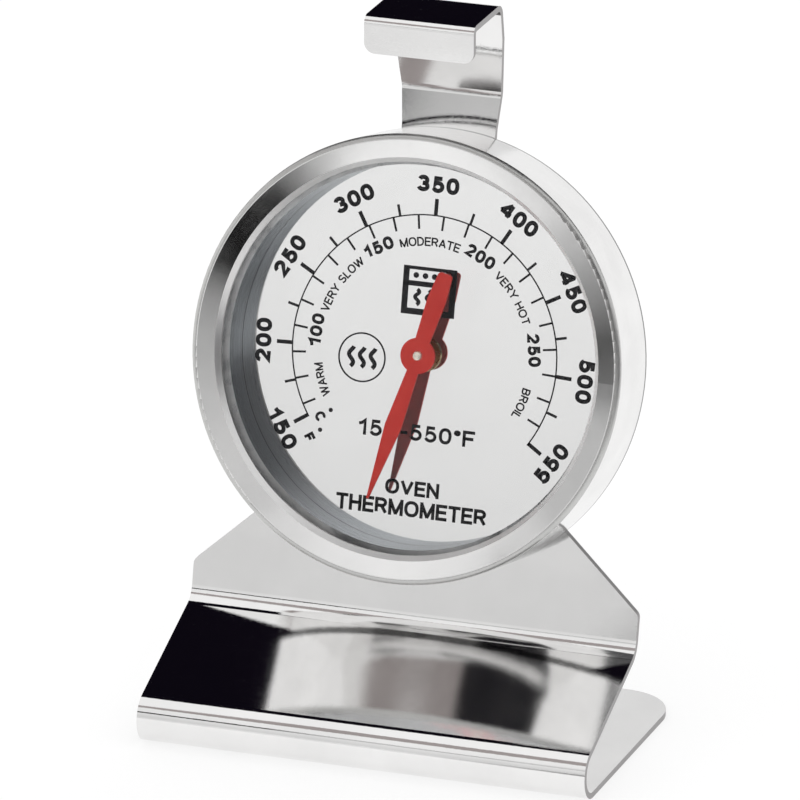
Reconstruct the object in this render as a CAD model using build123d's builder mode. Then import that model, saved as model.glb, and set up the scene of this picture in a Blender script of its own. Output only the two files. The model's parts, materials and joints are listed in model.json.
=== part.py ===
"""Dial oven thermometer on a bent stainless stand that also hangs from a rack rod.

The frame origin is the middle of the footprint at floor level: +Z is up, -Y is the
way the dial faces, and +X is to the reader's right.
"""
from build123d import *
from math import cos, radians, sin, tan
import os

os.makedirs("parts", exist_ok=True)

# ---- stand: one bent strip of sheet ----
SHEET = 0.9                 # stainless sheet thickness
BASE_WIDTH = 68.0           # base, front panel and foot of the upright
BASE_DEPTH = 43.4           # nose to rear edge of the base
BASE_CORNER = 8.0           # plan radius of the two rear corners
NOSE_RADIUS = 3.8           # outside radius of the folded nose
PANEL_SLOPE = 21.7          # front panel, degrees from the floor
UPRIGHT_LEAN = 12.5         # upright and dial lean back from the vertical, degrees
FOOT_BEND = 3.6             # centreline radius between front panel and upright
SHOULDER_Z = 20.5           # top of the short vertical side edges
SHOULDER_SLOPE = 41.5       # slope of the shoulders, degrees from the floor
SHOULDER_CORNER = 1.2
ARMPIT_RADIUS = 6.0         # inside corner between shoulder and neck
NECK_WIDTH = 14.2           # neck where it leaves the case
NECK_FLARE_Z = 86.0         # the neck widens from here up to the hook
NECK_BEND_UP = 38.0         # neck bend, above the dial centre along the upright
NECK_FORWARD = 10.0         # the neck above the bend leans forward, degrees
NECK_BEND = 3.0             # centreline radius of the neck bend
HOOK_WIDTH = 16.5
HOOK_TOP_Z = 105.5          # overall height
HOOK_FRONT_Y = 3.6          # outer face of the front lip
HOOK_LIP = 5.5              # drop of the front lip below the hook top
HOOK_REAR_BEND = 1.6        # centreline radius, hook top to neck
HOOK_FRONT_BEND = 0.85      # centreline radius, hook top to lip
LIP_CORNER = 1.6
OUTLINE_MARGIN = 1.0        # overlap of the two profiles that a bent sheet is cut from

# ---- dial and case, heights measured along the dial axis from the dial face ----
DIAL_HEIGHT = 54.8          # dial centre above the floor
NOSE_TO_DIAL = 27.9         # nose front to dial centre, along Y
CASE_RADIUS = 32.4
WALL = 0.5                  # pressed steel of bezel, case back and spacer
CASE_FRONT = 9.2            # highest ridge of the bezel
CASE_REAR = -3.2            # rear rim, seated on the upright
BEZEL_CORNER = 0.75
REAR_CORNER = 0.4
BEZEL_INNER = 29.0          # inner edge of the bezel's face band
BEZEL_DISH = 0.7            # drop of the face band from ridge to inner edge
LENS_OPENING = 28.3
LIP_REAR = 7.2              # end of the bezel's inner lip
CRIMP_INNER = 29.6          # inner edge of the rear crimp
GASKET = 0.4
GASKET_INNER = 28.7
GLASS = 1.5
GLASS_RADIUS = 31.2
GLASS_EDGE = 0.2
SPACER_INNER = 27.75        # wall of the well round the dial
DIAL_SHEET = 0.5
DIAL_RADIUS = 31.6
PAN_RIM = 31.7              # outside of the case back's upturned rim
PAN_STEP = 29.1             # raised seat of the case back ends here

# ---- movement ----
SPINDLE_RADIUS = 0.6
SPINDLE_HEAD = 0.75         # radius of the riveted head over the pointer
HEAD_CROWN_RADIUS = 0.6
HEAD_SIDE = 0.25
HEAD_CROWN = 0.32
RUNNING_CLEARANCE = 0.05
PIVOT_RADIUS = 0.4
PIVOT_LENGTH = 0.6          # how far the pivot reaches into the rear bearing
BEARING_RADIUS = 1.9
BEARING_SPIGOT = 1.2
BEARING_FLANGE = 0.35
BUSHING_RADIUS = 1.6
BUSHING_FLANGE = 2.6
BUSHING_PROUD = 0.35
BUSHING_TAIL = 0.35         # below the back of the dial sheet
COLLAR_RADIUS = 1.5
COLLAR_LENGTH = 1.25
WASHER = 0.2
WASHER_RADIUS = 1.5
BOSS_RADIUS = 1.3
COIL_STRIP = 0.3            # bimetal strip thickness
COIL_WIDTH = 1.1            # bimetal strip width, along the axis
COIL_INNER = 1.85           # innermost centreline radius
COIL_STEP = 0.55            # growth of the radius per half turn
COIL_HALF_TURNS = 11
BRACKET_SHEET = 0.3
BRACKET_WIDTH = 2.4
BRACKET_FOOT = 3.6
BRACKET_RIVET = 0.6         # shank radius
BRACKET_RIVET_HEAD = 1.02
BRACKET_RIVET_REACH = 2.52  # rivet, out from the coil's outer strip
POINTER_ANGLE = -165.8      # at room temperature, clockwise from the top of the dial
POINTER_HEIGHT = 2.5        # underside of the pointer's hub above the dial face
POINTER_SHEET = 0.4
BLADE_LIFT = 6.2            # the blade rises towards the glass, degrees
TAIL_DROP = 5.0             # the tail dips towards the dial, degrees
POINTER_BEND = 6.0          # radius of both bends, at the edges of the hub
BLADE_LENGTH = 21.7
BLADE_WIDTH = 2.5
BLADE_WIDEST = 10.8         # distance of the widest section from the centre
BLADE_ROOT = 1.5
BLADE_TIP = 0.3
BLADE_ROUND = 5.2           # softens the widest point of the blade
TAIL_LENGTH = 12.5
TAIL_WIDTH = 2.8
TAIL_WIDEST = 8.5
TAIL_ROOT = 2.0
TAIL_END = 2.1
TAIL_CORNER = 0.52
HUB_RADIUS = 2.6

# ---- rivets that hold the case to the upright ----
RIVET_RADIUS = 1.25
RIVET_HEAD_RADIUS = 2.4
RIVET_HEAD = 0.8
RIVET_DOME = 0.45
RIVET_UPSET_RADIUS = 1.875
RIVET_SPOTS = {
    "case_rivet_top": (0.0, 15.0),
    "case_rivet_left": (-8.5, -18.0),
    "case_rivet_right": (8.5, -18.0),
}

# ---- shared planes ----
lean = radians(UPRIGHT_LEAN)
nose_y = -BASE_DEPTH / 2
centre = Vector(0, nose_y + NOSE_TO_DIAL, DIAL_HEIGHT)
normal = Vector(0, -cos(lean), sin(lean))          # out of the dial, towards the reader
up = Vector(0, sin(lean), cos(lean))               # up the dial face
dial_plane = Plane(origin=centre, x_dir=(1, 0, 0), z_dir=normal)
section_plane = Plane(origin=centre, x_dir=(1, 0, 0), z_dir=-up)   # radius across, axis up
dial_axis = Axis(centre, normal)


def ring_section(*points):
    """A closed outline of (radius, height) points on the plane through the dial axis."""
    with BuildSketch(section_plane) as section:
        with BuildLine():
            Polyline(*points, close=True)
        make_face()
    return section.sketch


def band(inner, outer, low, high):
    """The section of a plain ring, or of a disc where inner is 0, between two heights."""
    return ring_section((inner, low), (outer, low), (outer, high), (inner, high))


def near(value, target):
    return abs(value - target) < 0.01


def finish(part, name):
    part.label = name
    export_step(part, f"parts/{name}.step")


# ---- stand_frame ----
# The sheet's centreline, seen from the side, runs from the lip over the hook, down the
# neck and upright, out along the front panel, round the nose and back along the floor.
half_sheet = SHEET / 2
behind = half_sheet - CASE_REAR
neck_y = centre.Y + behind * cos(lean) + NECK_BEND_UP * sin(lean)
neck_z = centre.Z - behind * sin(lean) + NECK_BEND_UP * cos(lean)

hook_z = HOOK_TOP_Z - half_sheet
hook_rear_y = neck_y - (hook_z - neck_z) * tan(radians(NECK_FORWARD))
lip_y = HOOK_FRONT_Y + half_sheet

# The nose fold is tangent to panel and base, whose centrelines meet well in front of it.
nose_bend = NOSE_RADIUS - half_sheet
panel_rise = tan(radians(PANEL_SLOPE))
apex_y = nose_y + NOSE_RADIUS - nose_bend / tan(radians(PANEL_SLOPE) / 2)

# Panel and upright meet where both give the same height.
upright_at_floor = neck_y - neck_z * tan(lean)
foot_z = (half_sheet + (upright_at_floor - apex_y) * panel_rise) / (1 - tan(lean) * panel_rise)
foot_y = neck_y - (neck_z - foot_z) * tan(lean)

shoulder_rise = (BASE_WIDTH - NECK_WIDTH) / 2 * tan(radians(SHOULDER_SLOPE))
front_outline = (
    (BASE_WIDTH / 2, -OUTLINE_MARGIN),
    (BASE_WIDTH / 2, SHOULDER_Z),
    (NECK_WIDTH / 2, SHOULDER_Z + shoulder_rise),
    (NECK_WIDTH / 2, NECK_FLARE_Z),
    (HOOK_WIDTH / 2, HOOK_TOP_Z - HOOK_LIP),
    (HOOK_WIDTH / 2, HOOK_TOP_Z + OUTLINE_MARGIN),
)

with BuildPart() as stand_frame:
    with BuildSketch(Plane.YZ):
        with BuildLine():
            FilletPolyline(
                (lip_y, HOOK_TOP_Z - HOOK_LIP),
                (lip_y, hook_z),
                (hook_rear_y, hook_z),
                (neck_y, neck_z),
                (foot_y, foot_z),
                (apex_y, half_sheet),
                (-nose_y, half_sheet),
                radius=[HOOK_FRONT_BEND, HOOK_REAR_BEND, NECK_BEND, FOOT_BEND, nose_bend],
            )
        trace(line_width=SHEET)
    extrude(amount=BASE_WIDTH / 2, both=True)

    with BuildSketch(Plane.XZ) as outline:
        with BuildLine():
            Polyline(
                *front_outline,
                (0, HOOK_TOP_Z + OUTLINE_MARGIN),
                (0, -OUTLINE_MARGIN),
                close=True,
            )
        make_face()
        mirror(about=Plane.YZ)
        fillet(outline.vertices().filter_by(lambda v: near(v.Y, SHOULDER_Z)), SHOULDER_CORNER)
        fillet(
            outline.vertices().filter_by(lambda v: near(v.Y, SHOULDER_Z + shoulder_rise)),
            ARMPIT_RADIUS,
        )
    extrude(amount=BASE_DEPTH, both=True, mode=Mode.INTERSECT)

    rear_corners = stand_frame.edges().filter_by(Axis.Z).filter_by(lambda e: near(e.center().Y, -nose_y))
    fillet(rear_corners, BASE_CORNER)
    lip_corners = stand_frame.edges().filter_by(Axis.Y).filter_by(
        lambda e: near(e.center().Z, HOOK_TOP_Z - HOOK_LIP)
    )
    fillet(lip_corners, LIP_CORNER)

    with BuildSketch(dial_plane.offset(CASE_REAR)):
        with Locations(*RIVET_SPOTS.values()):
            Circle(RIVET_RADIUS)
    extrude(amount=-SHEET, mode=Mode.SUBTRACT)
finish(stand_frame.part, "stand_frame")

# ---- bezel_ring: side wall, dished front band, lens lip and rear crimp in one pressing ----
with BuildPart() as bezel_ring:
    with BuildSketch(section_plane) as bezel_section:
        with BuildLine():
            Polyline(
                (CRIMP_INNER, CASE_REAR),
                (CASE_RADIUS, CASE_REAR),
                (CASE_RADIUS, CASE_FRONT),
                (BEZEL_INNER, CASE_FRONT - BEZEL_DISH),
                (LENS_OPENING, LIP_REAR + WALL),
                (LENS_OPENING, LIP_REAR),
                (LENS_OPENING + WALL, LIP_REAR),
                (BEZEL_INNER + WALL, CASE_FRONT - BEZEL_DISH - WALL),
                (CASE_RADIUS - WALL, CASE_FRONT - WALL),
                (CASE_RADIUS - WALL, CASE_REAR + WALL),
                (CRIMP_INNER, CASE_REAR + WALL),
                close=True,
            )
        make_face()
        corners = bezel_section.vertices()
        fillet(corners.filter_by(lambda v: near(v.X, CASE_RADIUS) and near(v.Y, CASE_FRONT)), BEZEL_CORNER)
        fillet(corners.filter_by(lambda v: near(v.X, CASE_RADIUS) and near(v.Y, CASE_REAR)), REAR_CORNER)
        fillet(corners.filter_by(lambda v: near(v.X, BEZEL_INNER)), BEZEL_CORNER)
    revolve(axis=dial_axis)
finish(bezel_ring.part, "bezel_ring")

# ---- case_back: shallow pan inside the bezel, held by the crimp ----
pan_floor = CASE_REAR + WALL
coil_outer = COIL_INNER + (COIL_HALF_TURNS - 1) * COIL_STEP
bracket_rivet_x = -(coil_outer + BRACKET_RIVET_REACH)
with BuildPart() as case_back:
    revolve(
        ring_section(
            (BEARING_SPIGOT, CASE_REAR),
            (PAN_STEP, CASE_REAR),
            (PAN_STEP, pan_floor),
            (PAN_RIM, pan_floor),
            (PAN_RIM, -DIAL_SHEET),
            (PAN_RIM - WALL, -DIAL_SHEET),
            (PAN_RIM - WALL, pan_floor + WALL),
            (PAN_STEP - WALL, pan_floor + WALL),
            (PAN_STEP - WALL, pan_floor),
            (BEARING_SPIGOT, pan_floor),
        ),
        axis=dial_axis,
    )
    with BuildSketch(dial_plane.offset(CASE_REAR)):
        with Locations(*RIVET_SPOTS.values()):
            Circle(RIVET_RADIUS)
        with Locations((bracket_rivet_x, 0)):
            Circle(BRACKET_RIVET)
    extrude(amount=WALL, mode=Mode.SUBTRACT)
finish(case_back.part, "case_back")

# ---- glass_lens, lens_gasket and spacer_ring, stacked behind the bezel's lip ----
glass_front = LIP_REAR - GASKET
glass_rear = glass_front - GLASS

with BuildPart() as lens_gasket:
    revolve(band(GASKET_INNER, GLASS_RADIUS, glass_front, LIP_REAR), axis=dial_axis)
finish(lens_gasket.part, "lens_gasket")

with BuildPart() as glass_lens:
    revolve(band(0, GLASS_RADIUS, glass_rear, glass_front), axis=dial_axis)
    chamfer(glass_lens.edges().filter_by(GeomType.CIRCLE), GLASS_EDGE)
finish(glass_lens.part, "glass_lens")

with BuildPart() as spacer_ring:
    revolve(
        ring_section(
            (SPACER_INNER, 0),
            (SPACER_INNER + WALL, 0),
            (SPACER_INNER + WALL, glass_rear - WALL),
            (GLASS_RADIUS, glass_rear - WALL),
            (GLASS_RADIUS, glass_rear),
            (SPACER_INNER, glass_rear),
        ),
        axis=dial_axis,
    )
finish(spacer_ring.part, "spacer_ring")

# ---- dial_plate and dial_bushing ----
with BuildPart() as dial_plate:
    revolve(band(BUSHING_RADIUS, DIAL_RADIUS, -DIAL_SHEET, 0), axis=dial_axis)
finish(dial_plate.part, "dial_plate")

bore = SPINDLE_RADIUS + RUNNING_CLEARANCE
bushing_rear = -DIAL_SHEET - BUSHING_TAIL
with BuildPart() as dial_bushing:
    revolve(
        ring_section(
            (bore, bushing_rear),
            (BUSHING_RADIUS, bushing_rear),
            (BUSHING_RADIUS, 0),
            (BUSHING_FLANGE, 0),
            (BUSHING_FLANGE, BUSHING_PROUD),
            (bore, BUSHING_PROUD),
        ),
        axis=dial_axis,
    )
finish(dial_bushing.part, "dial_bushing")

# ---- rear_bearing: blind pivot hole, riveted into the case back ----
bearing_front = pan_floor + BEARING_FLANGE
pivot_bore = PIVOT_RADIUS + RUNNING_CLEARANCE
pivot_end = bearing_front - PIVOT_LENGTH
with BuildPart() as rear_bearing:
    revolve(
        ring_section(
            (0, CASE_REAR),
            (BEARING_SPIGOT, CASE_REAR),
            (BEARING_SPIGOT, pan_floor),
            (BEARING_RADIUS, pan_floor),
            (BEARING_RADIUS, bearing_front),
            (pivot_bore, bearing_front),
            (pivot_bore, pivot_end - RUNNING_CLEARANCE),
            (0, pivot_end - RUNNING_CLEARANCE),
        ),
        axis=dial_axis,
    )
finish(rear_bearing.part, "rear_bearing")

# ---- spindle, coil_collar, thrust_washer and pointer_boss turn with the pointer ----
pointer_front = POINTER_HEIGHT + POINTER_SHEET
with BuildPart() as spindle:
    revolve(
        ring_section(
            (0, pivot_end),
            (PIVOT_RADIUS, pivot_end),
            (PIVOT_RADIUS, bearing_front + RUNNING_CLEARANCE),
            (SPINDLE_RADIUS, bearing_front + RUNNING_CLEARANCE),
            (SPINDLE_RADIUS, pointer_front),
            (SPINDLE_HEAD, pointer_front),
            (HEAD_CROWN_RADIUS, pointer_front + HEAD_SIDE),
            (0, pointer_front + HEAD_CROWN),
        ),
        axis=dial_axis,
    )
finish(spindle.part, "spindle")

collar_rear = bearing_front + 2 * RUNNING_CLEARANCE
with BuildPart() as coil_collar:
    revolve(band(SPINDLE_RADIUS, COLLAR_RADIUS, collar_rear, collar_rear + COLLAR_LENGTH), axis=dial_axis)
finish(coil_collar.part, "coil_collar")

washer_rear = BUSHING_PROUD + RUNNING_CLEARANCE
with BuildPart() as thrust_washer:
    revolve(band(SPINDLE_RADIUS, WASHER_RADIUS, washer_rear, washer_rear + WASHER), axis=dial_axis)
finish(thrust_washer.part, "thrust_washer")

with BuildPart() as pointer_boss:
    revolve(band(SPINDLE_RADIUS, BOSS_RADIUS, washer_rear + WASHER, POINTER_HEIGHT), axis=dial_axis)
finish(pointer_boss.part, "pointer_boss")

# ---- pointer: blade, flat hub disc and counterweight tail in one bent stamping ----
pointing = radians(POINTER_ANGLE)
along_blade = Vector(sin(pointing), 0, 0) + up * cos(pointing)
across_blade = along_blade.cross(normal)
pointer_plane = Plane(origin=centre, x_dir=across_blade, z_dir=normal)
pointer_side = Plane(origin=centre, x_dir=along_blade, z_dir=across_blade)
hub_mid = POINTER_HEIGHT + POINTER_SHEET / 2
blade_reach = BLADE_LENGTH + OUTLINE_MARGIN
tail_reach = TAIL_LENGTH + OUTLINE_MARGIN
blade_rise = (blade_reach - HUB_RADIUS) * tan(radians(BLADE_LIFT))
tail_fall = (tail_reach - HUB_RADIUS) * tan(radians(TAIL_DROP))
half_outline = (
    (0, BLADE_LENGTH),
    (BLADE_TIP / 2, BLADE_LENGTH),
    (BLADE_WIDTH / 2, BLADE_WIDEST),
    (BLADE_ROOT / 2, 0),
    (TAIL_ROOT / 2, 0),
    (TAIL_WIDTH / 2, -TAIL_WIDEST),
    (TAIL_END / 2, -TAIL_LENGTH),
    (0, -TAIL_LENGTH),
)
with BuildPart() as pointer:
    with BuildSketch(pointer_side):
        with BuildLine():
            FilletPolyline(
                (-tail_reach, hub_mid - tail_fall),
                (-HUB_RADIUS, hub_mid),
                (HUB_RADIUS, hub_mid),
                (blade_reach, hub_mid + blade_rise),
                radius=POINTER_BEND,
            )
        trace(line_width=POINTER_SHEET)
    extrude(amount=HUB_RADIUS + OUTLINE_MARGIN, both=True)
    with BuildSketch(pointer_plane) as pointer_outline:
        with BuildLine():
            Polyline(*half_outline, close=True)
        make_face()
        mirror(about=Plane.YZ)
        fillet(pointer_outline.vertices().filter_by(lambda v: near(v.Y, BLADE_WIDEST)), BLADE_ROUND)
        fillet(pointer_outline.vertices().filter_by(lambda v: near(v.Y, -TAIL_LENGTH)), TAIL_CORNER)
        Circle(HUB_RADIUS)
        Circle(SPINDLE_RADIUS, mode=Mode.SUBTRACT)
    extrude(amount=glass_rear, mode=Mode.INTERSECT)
finish(pointer.part, "pointer")

# ---- bimetal_coil: a flat spiral of half-circle arcs on two alternating centres ----
coil_rear = collar_rear + (COLLAR_LENGTH - COIL_WIDTH) / 2
with BuildPart() as bimetal_coil:
    with BuildSketch(dial_plane.offset(coil_rear)):
        with BuildLine():
            for half_turn in range(COIL_HALF_TURNS):
                odd = half_turn % 2
                radius = COIL_INNER + half_turn * COIL_STEP
                CenterArc((odd * COIL_STEP, 0), radius, odd * 180, 180)
        trace(line_width=COIL_STRIP)
    extrude(amount=COIL_WIDTH)
finish(bimetal_coil.part, "bimetal_coil")

# ---- coil_bracket and bracket_rivet hold the outer end of the coil to the case back ----
coil_outside = coil_outer + COIL_STRIP / 2
with BuildPart() as coil_bracket:
    with BuildSketch(section_plane):
        with BuildLine():
            Polyline(
                (-coil_outside, pan_floor),
                (-coil_outside, coil_rear + COIL_WIDTH),
                (-coil_outside - BRACKET_SHEET, coil_rear + COIL_WIDTH),
                (-coil_outside - BRACKET_SHEET, pan_floor + BRACKET_SHEET),
                (-coil_outside - BRACKET_FOOT, pan_floor + BRACKET_SHEET),
                (-coil_outside - BRACKET_FOOT, pan_floor),
                close=True,
            )
        make_face()
    extrude(amount=BRACKET_WIDTH / 2, both=True)
    with BuildSketch(dial_plane.offset(pan_floor)):
        with Locations((bracket_rivet_x, 0)):
            Circle(BRACKET_RIVET)
    extrude(amount=BRACKET_SHEET, mode=Mode.SUBTRACT)
finish(coil_bracket.part, "coil_bracket")

with BuildPart() as bracket_rivet:
    with BuildSketch(dial_plane.offset(CASE_REAR)):
        with Locations((bracket_rivet_x, 0)):
            Circle(BRACKET_RIVET)
    extrude(amount=WALL + BRACKET_SHEET)
    with BuildSketch(dial_plane.offset(pan_floor + BRACKET_SHEET)):
        with Locations((bracket_rivet_x, 0)):
            Circle(BRACKET_RIVET_HEAD)
    extrude(amount=BRACKET_SHEET)
finish(bracket_rivet.part, "bracket_rivet")

# ---- case rivets: domed head behind the upright, flat upset head inside the case ----
for name, spot in RIVET_SPOTS.items():
    with BuildPart() as case_rivet:
        with BuildSketch(dial_plane.offset(CASE_REAR - SHEET)):
            with Locations(spot):
                Circle(RIVET_RADIUS)
        extrude(amount=SHEET + WALL)
        with BuildSketch(dial_plane.offset(CASE_REAR - SHEET)):
            with Locations(spot):
                Circle(RIVET_HEAD_RADIUS)
        extrude(amount=-RIVET_HEAD)
        rear_edge = case_rivet.edges().filter_by(GeomType.CIRCLE).sort_by(dial_axis)[0]
        fillet(rear_edge, RIVET_DOME)
        with BuildSketch(dial_plane.offset(pan_floor)):
            with Locations(spot):
                Circle(RIVET_UPSET_RADIUS)
        extrude(amount=RIVET_HEAD)
    finish(case_rivet.part, name)
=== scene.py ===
"""Looks for the dial oven thermometer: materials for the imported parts, the printing on
the dial, and a plain pale studio.

Lengths are metres unless a name or a docstring says millimetres. Angles are degrees.
"""

import json
import math

import bmesh
import bpy
from mathutils import Matrix, Vector


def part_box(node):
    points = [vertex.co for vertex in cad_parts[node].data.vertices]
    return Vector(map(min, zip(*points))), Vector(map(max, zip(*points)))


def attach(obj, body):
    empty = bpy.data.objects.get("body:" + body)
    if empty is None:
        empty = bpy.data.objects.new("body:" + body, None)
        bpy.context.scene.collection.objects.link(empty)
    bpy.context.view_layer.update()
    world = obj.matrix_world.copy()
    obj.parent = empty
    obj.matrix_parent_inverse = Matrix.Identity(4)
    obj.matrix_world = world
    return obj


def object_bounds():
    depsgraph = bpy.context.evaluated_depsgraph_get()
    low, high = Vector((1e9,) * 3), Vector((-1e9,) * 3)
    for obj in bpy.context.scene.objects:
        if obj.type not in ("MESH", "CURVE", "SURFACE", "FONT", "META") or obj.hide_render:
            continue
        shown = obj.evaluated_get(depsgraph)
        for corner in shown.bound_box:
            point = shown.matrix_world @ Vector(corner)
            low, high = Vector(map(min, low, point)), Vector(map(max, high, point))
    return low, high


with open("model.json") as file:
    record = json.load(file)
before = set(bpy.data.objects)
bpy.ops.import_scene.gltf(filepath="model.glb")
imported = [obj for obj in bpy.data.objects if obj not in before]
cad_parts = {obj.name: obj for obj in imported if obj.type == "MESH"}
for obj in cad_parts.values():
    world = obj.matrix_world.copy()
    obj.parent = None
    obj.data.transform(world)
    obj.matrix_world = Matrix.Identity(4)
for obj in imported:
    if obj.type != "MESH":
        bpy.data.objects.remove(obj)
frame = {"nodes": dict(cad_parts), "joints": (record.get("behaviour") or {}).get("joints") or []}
cad_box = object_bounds()
nodes = frame["nodes"]
MM = 0.001

# ---- the dial's own axes, from the joint that the pointer turns on ----
pointer_joint = frame["joints"][0]
pivot = Vector(pointer_joint["pos_m"])
out = -Vector(pointer_joint["axis"]).normalized()      # out of the dial, towards the reader
right = Vector((1, 0, 0))
up = out.cross(right)
dial_face = max((v.co - pivot).dot(out) for v in nodes["dial_plate"].data.vertices)
dial_origin = pivot + out * dial_face
dial_matrix = Matrix.Translation(dial_origin) @ Matrix((right, up, out)).transposed().to_4x4()
dial_tilt = math.atan2(out.z, -out.y) - math.pi / 2    # radians; turns the dial's axis onto Z


def dial_place_mm(point):
    """A point's distance from the dial's axis and its height over the dial face."""
    arm = (point - dial_origin) / MM
    height = arm.dot(out)
    return (arm - out * height).length, height


def heights_mm(name):
    """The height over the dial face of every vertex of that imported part."""
    return [dial_place_mm(v.co)[1] for v in nodes[name].data.vertices]


# =====================================================================================
# Materials
# =====================================================================================
class Shader:
    """A node tree with short calls for the nodes the finishes are made of."""

    def __init__(self, name):
        self.material = bpy.data.materials.new(name)
        self.material.use_nodes = True
        self.tree = self.material.node_tree
        self.tree.nodes.clear()
        output = self.node("ShaderNodeOutputMaterial")
        self.surface = self.node("ShaderNodeBsdfPrincipled")
        self.link(self.surface.outputs["BSDF"], output.inputs["Surface"])

    def node(self, kind, **settings):
        """A new node of that kind, with its settings."""
        made = self.tree.nodes.new(kind)
        for key, value in settings.items():
            setattr(made, key, value)
        return made

    def link(self, source, target):
        self.tree.links.new(source, target)

    def put(self, **values):
        """Sets inputs of the surface; an underscore stands for a space."""
        for key, value in values.items():
            self.surface.inputs[key.replace("_", " ")].default_value = value

    def coords(self, stretch=(1, 1, 1)):
        """Object coordinates in millimetres, scaled by stretch."""
        source = self.node("ShaderNodeTexCoord").outputs["Object"]
        return self.scaled(source, 0.0, stretch)

    def dial_coords(self):
        """Millimetres from the middle of the dial face, with Z along the dial's axis."""
        moved = self.node("ShaderNodeVectorMath", operation="SUBTRACT")
        moved.inputs[1].default_value = dial_origin
        self.link(self.node("ShaderNodeTexCoord").outputs["Object"], moved.inputs[0])
        return self.scaled(moved.outputs[0], dial_tilt, (1, 1, 1))

    def scaled(self, source, tilt, stretch):
        """source in millimetres, turned by tilt radians about X, then scaled by stretch."""
        mapping = self.node("ShaderNodeMapping", vector_type="POINT")
        mapping.inputs["Rotation"].default_value = (tilt, 0, 0)
        mapping.inputs["Scale"].default_value = (1 / MM,) * 3
        self.link(source, mapping.inputs["Vector"])
        wider = self.node("ShaderNodeVectorMath", operation="MULTIPLY")
        wider.inputs[1].default_value = stretch
        self.link(mapping.outputs[0], wider.inputs[0])
        return wider.outputs[0]

    def noise(self, vector, scale, detail=3.0, rough=0.55):
        """Noise with about that many bumps to each unit of the vector."""
        made = self.node("ShaderNodeTexNoise")
        made.inputs["Scale"].default_value = scale
        made.inputs["Detail"].default_value = detail
        made.inputs["Roughness"].default_value = rough
        self.link(vector, made.inputs["Vector"])
        return made.outputs[0]

    def spread(self, value, low, high, start=0.0, end=1.0):
        """value, from start..end, taken to low..high."""
        made = self.node("ShaderNodeMapRange")
        for key, number in (("From Min", start), ("From Max", end), ("To Min", low), ("To Max", high)):
            made.inputs[key].default_value = number
        self.link(value, made.inputs["Value"])
        return made.outputs[0]

    def maths(self, operation, first, second):
        """first and second, a socket or a number each, joined by a Math operation."""
        made = self.node("ShaderNodeMath", operation=operation)
        for socket, value in zip(made.inputs, (first, second)):
            if isinstance(value, (int, float)):
                socket.default_value = value
            else:
                self.link(value, socket)
        return made.outputs[0]

    def add(self, first, second):
        return self.maths("ADD", first, second)

    def times(self, first, second):
        return self.maths("MULTIPLY", first, second)

    def tint(self, factor, dark, light):
        """Base colour from dark, where factor is 0, to light, where it is 1."""
        made = self.node("ShaderNodeMix", data_type="RGBA")
        factor_in, dark_in, light_in = [made.inputs[i] for i in (0, 6, 7)]
        colour_out = made.outputs[2]
        dark_in.default_value = (*dark, 1)
        light_in.default_value = (*light, 1)
        self.link(factor, factor_in)
        self.link(colour_out, self.surface.inputs["Base Color"])

    def rough(self, value):
        """Roughness from a socket."""
        self.link(value, self.surface.inputs["Roughness"])

    def bump(self, height, microns):
        """Relief of that depth, where height goes from 0 to 1."""
        made = self.node("ShaderNodeBump")
        made.inputs["Strength"].default_value = 1.0
        made.inputs["Distance"].default_value = microns * 1e-6
        self.link(height, made.inputs["Height"])
        self.link(made.outputs[0], self.surface.inputs["Normal"])

    def radius_and_height(self):
        """Millimetres from the dial's axis, and over the dial face."""
        parts = self.node("ShaderNodeSeparateXYZ")
        self.link(self.dial_coords(), parts.inputs[0])
        across, upwards = [self.maths("POWER", parts.outputs[i], 2.0) for i in (0, 1)]
        return self.maths("POWER", self.add(across, upwards), 0.5), parts.outputs[2]

    def round_grain(self, per_radius, per_height):
        """Lines that run round the dial's axis, as lathe and spinning marks do."""
        radius, height = self.radius_and_height()
        both = self.node("ShaderNodeCombineXYZ")
        self.link(self.times(radius, per_radius), both.inputs[0])
        self.link(self.times(height, per_height), both.inputs[1])
        return both.outputs[0]

    def round_tangent(self):
        """Turns the highlight of a spun part round the dial's axis."""
        arm = self.node("ShaderNodeVectorMath", operation="SUBTRACT")
        arm.inputs[1].default_value = dial_origin
        self.link(self.node("ShaderNodeNewGeometry").outputs["Position"], arm.inputs[0])
        round_axis = self.node("ShaderNodeVectorMath", operation="CROSS_PRODUCT")
        round_axis.inputs[0].default_value = out
        self.link(arm.outputs[0], round_axis.inputs[1])
        outward = self.node("ShaderNodeVectorMath", operation="CROSS_PRODUCT")
        outward.inputs[1].default_value = out
        self.link(round_axis.outputs[0], outward.inputs[0])
        self.link(outward.outputs[0], self.surface.inputs["Tangent"])


def shade(base, share):
    """A darker version of a base colour."""
    return [c * share for c in base]


def rolled_steel(name, base, roughness, smudge):
    """Bright rolled stainless sheet: nearly a mirror, with a faint grain, smears and scratches."""
    s = Shader(name)
    s.put(Metallic=1.0)
    smears = s.noise(s.coords(), 0.09, 4.0)
    s.tint(s.spread(smears, 0, 1, 0.35, 0.7), shade(base, 0.94), base)
    grain = s.noise(s.coords((0.06, 2.4, 2.4)), 6.0, 4.0, 0.7)
    scratches = s.noise(s.coords((0.5, 9.0, 9.0)), 3.0, 2.0)
    dull = s.spread(smears, roughness, roughness + smudge, 0.4, 0.7)
    marks = s.spread(scratches, 0, 0.10, 0.60, 0.72)
    s.rough(s.add(s.add(dull, marks), s.spread(grain, -0.01, 0.01)))
    s.bump(s.add(s.times(grain, 0.35), scratches), 1)
    return s.material


RIM_SHADE_DEPTH = -9.0      # far below 0, so that the tint's clamp makes the painted shade on the rear rim end crisply


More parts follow.
